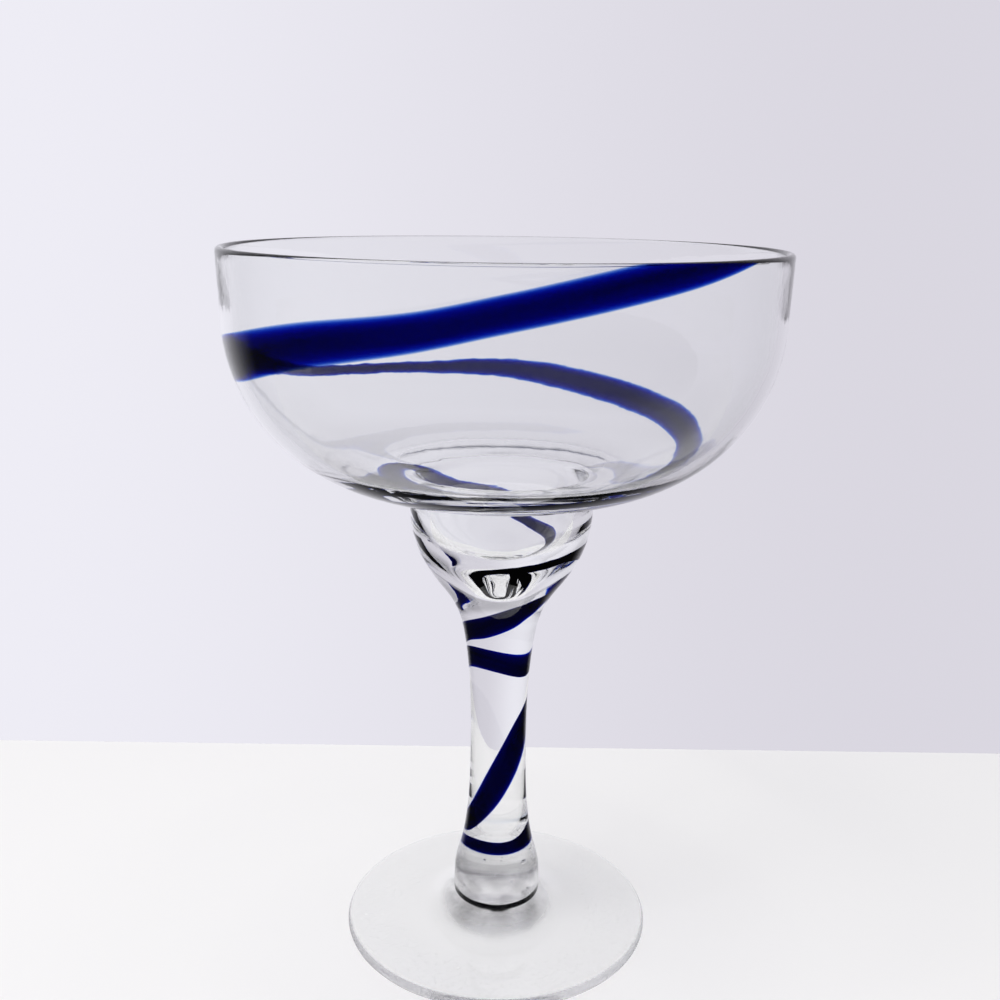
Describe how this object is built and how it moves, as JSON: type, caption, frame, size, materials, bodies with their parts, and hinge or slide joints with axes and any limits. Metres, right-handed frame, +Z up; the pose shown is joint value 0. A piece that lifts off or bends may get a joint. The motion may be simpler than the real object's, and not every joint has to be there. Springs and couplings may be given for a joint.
{
  "type": "margarita glass",
  "caption": "Hand-blown clear margarita glass: a wide bowl stepping down into a thick small well, on a solid stem, knop and round foot, with a cobalt thread spiralling round it.",
  "frame": {"origin": "middle of the foot's resting ring, on the surface that the glass stands on", "axes": "+Z up along the glass's axis, from the foot to the rim; -Y is the side the picture is taken from, and +X is its right. The thread starts over the rim at the front right and winds down clockwise seen from above"},
  "size_m": [0.133, 0.133, 0.1785],
  "materials": {
    "clear_glass": "fire-polished, clear, with slight ripples and a few seeds",
    "cobalt_glass": "fire-polished, deep cobalt, nearly opaque in the middle of the thread"
  },
  "bodies": {
    "root": {"foot": "clear_glass", "knop": "clear_glass", "stem": "clear_glass", "well": "clear_glass", "bowl": "clear_glass", "knop_trail": "cobalt_glass", "stem_trail": "cobalt_glass", "well_trail": "cobalt_glass", "bowl_trail": "cobalt_glass"}
  },
  "joints": []
}
